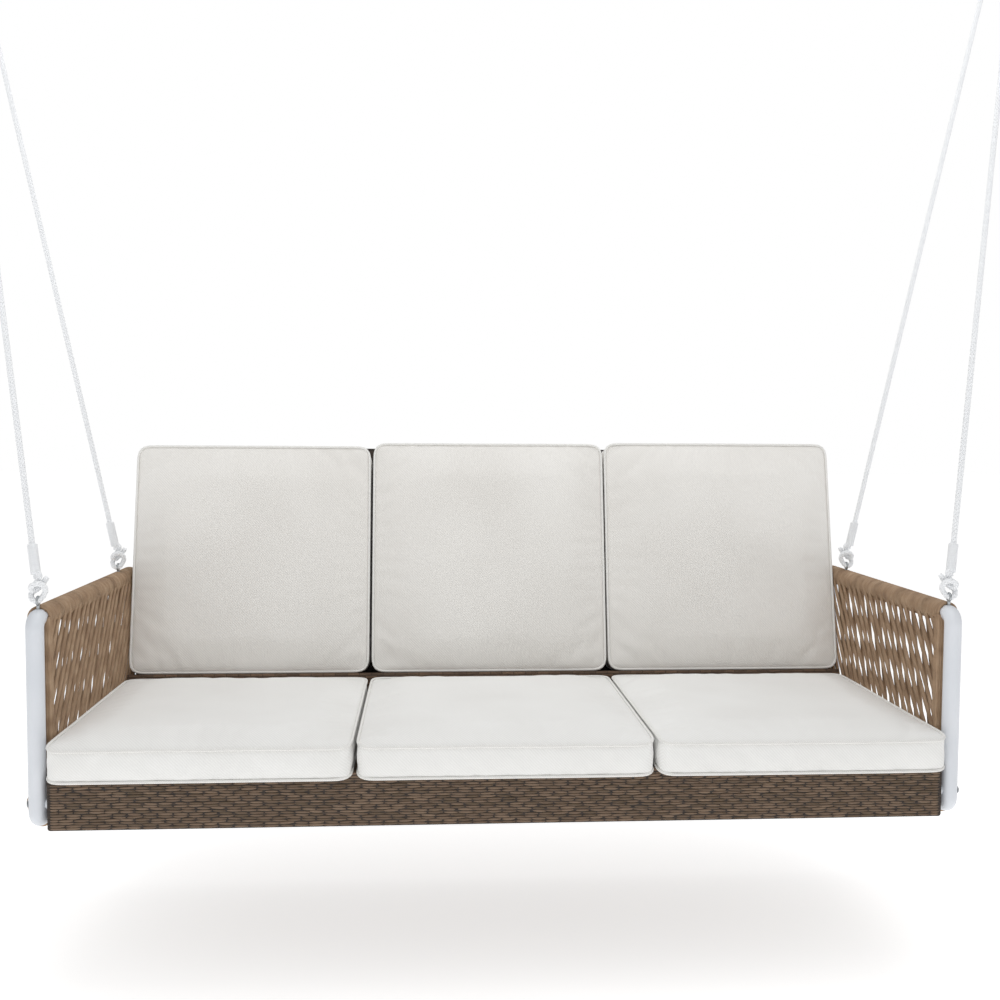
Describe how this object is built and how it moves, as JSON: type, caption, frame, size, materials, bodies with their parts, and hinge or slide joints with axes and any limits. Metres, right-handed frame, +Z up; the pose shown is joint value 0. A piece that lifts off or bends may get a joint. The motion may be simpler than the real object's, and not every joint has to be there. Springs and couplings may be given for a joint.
{
  "type": "hanging porch swing bench",
  "caption": "Hanging porch swing: woven bench with padded seat and back on four ropes under two ceiling hangers.",
  "frame": {"origin": "centre of the four ceiling bolts, at the top faces of the two ceiling plates", "axes": "+Z up; the sitter faces -Y; +X to the right of someone who faces the bench"},
  "size_m": [2.476, 0.7957, 2.395],
  "materials": {
    "white_tube": "satin",
    "frame_tube": "satin",
    "tan_cord": "matte",
    "brown_wicker": "matte",
    "seat_fabric": "matte",
    "back_fabric": "matte",
    "white_rope": "matte",
    "whipping": "matte",
    "steel": "satin",
    "nylon": "matte"
  },
  "bodies": {
    "overhead": {"ceiling_plate_left": "steel", "ceiling_plate_right": "steel", "pivot_bolts": "steel", "pivot_nuts": "steel"},
    "swing": {"arm_band_left": "tan_cord", "arm_band_right": "tan_cord", "arm_frame_left": "white_tube", "arm_frame_right": "white_tube", "arm_rail_wrap_left": "tan_cord", "arm_rail_wrap_right": "tan_cord", "arm_side_rail_left": "white_tube", "arm_side_rail_right": "white_tube", "arm_weave_left": "tan_cord", "arm_weave_right": "tan_cord", "back_bottom_rail": "frame_tube", "back_ledge": "brown_wicker", "back_middle_uprights": "frame_tube", "back_panel": "brown_wicker", "back_top_rail": "frame_tube", "back_upright_left": "frame_tube", "back_upright_right": "frame_tube", "frame_bolts": "steel", "frame_spacers": "white_tube", "front_apron": "brown_wicker", "hanger_link_left": "steel", "hanger_link_right": "steel", "hanger_ring_left": "steel", "hanger_ring_right": "steel", "knot_front_left": "white_rope", "knot_front_right": "white_rope", "knot_rear_left": "white_rope", "knot_rear_right": "white_rope", "pivot_bushings": "nylon", "rear_apron": "brown_wicker", "rivet_nuts": "steel", "rope_eyes": "steel", "rope_front_left": "white_rope", "rope_front_right": "white_rope", "rope_loops_left": "white_rope", "rope_loops_right": "white_rope", "rope_rear_left": "white_rope", "rope_rear_right": "white_rope", "rope_seizings_left": "whipping", "rope_seizings_right": "whipping", "rope_sleeve_front_left": "whipping", "rope_sleeve_front_right": "whipping", "rope_sleeve_rear_left": "whipping", "rope_sleeve_rear_right": "whipping", "seat_cross_bars": "frame_tube", "seat_deck": "brown_wicker", "seat_frame_front": "frame_tube", "seat_frame_rear": "frame_tube", "seat_side_rail_left": "frame_tube", "seat_side_rail_right": "frame_tube"},
    "back_cushion_left": {"back_cushion_left": "back_fabric"},
    "back_cushion_middle": {"back_cushion_middle": "back_fabric"},
    "back_cushion_right": {"back_cushion_right": "back_fabric"},
    "seat_cushion_left": {"seat_cushion_left": "seat_fabric"},
    "seat_cushion_middle": {"seat_cushion_middle": "seat_fabric"},
    "seat_cushion_right": {"seat_cushion_right": "seat_fabric"}
  },
  "joints": [
    {"name": "swing_pivot", "type": "hinge", "parent": "overhead", "child": "swing", "pos_m": [0, 0, -0.038], "axis": [1, 0, 0], "range_deg": [-20, 20]},
    {"name": "back_cushion_left_lift", "type": "slide", "parent": "swing", "child": "back_cushion_left", "axis": [0, 0.1994, 0.9799], "range_m": [0, 0.15]},
    {"name": "back_cushion_middle_lift", "type": "slide", "parent": "swing", "child": "back_cushion_middle", "axis": [0, 0.1994, 0.9799], "range_m": [0, 0.15]},
    {"name": "back_cushion_right_lift", "type": "slide", "parent": "swing", "child": "back_cushion_right", "axis": [0, 0.1994, 0.9799], "range_m": [0, 0.15]},
    {"name": "seat_cushion_left_lift", "type": "slide", "parent": "swing", "child": "seat_cushion_left", "axis": [0, 0, 1], "range_m": [0, 0.15]},
    {"name": "seat_cushion_middle_lift", "type": "slide", "parent": "swing", "child": "seat_cushion_middle", "axis": [0, 0, 1], "range_m": [0, 0.15]},
    {"name": "seat_cushion_right_lift", "type": "slide", "parent": "swing", "child": "seat_cushion_right", "axis": [0, 0, 1], "range_m": [0, 0.15]}
  ]
}
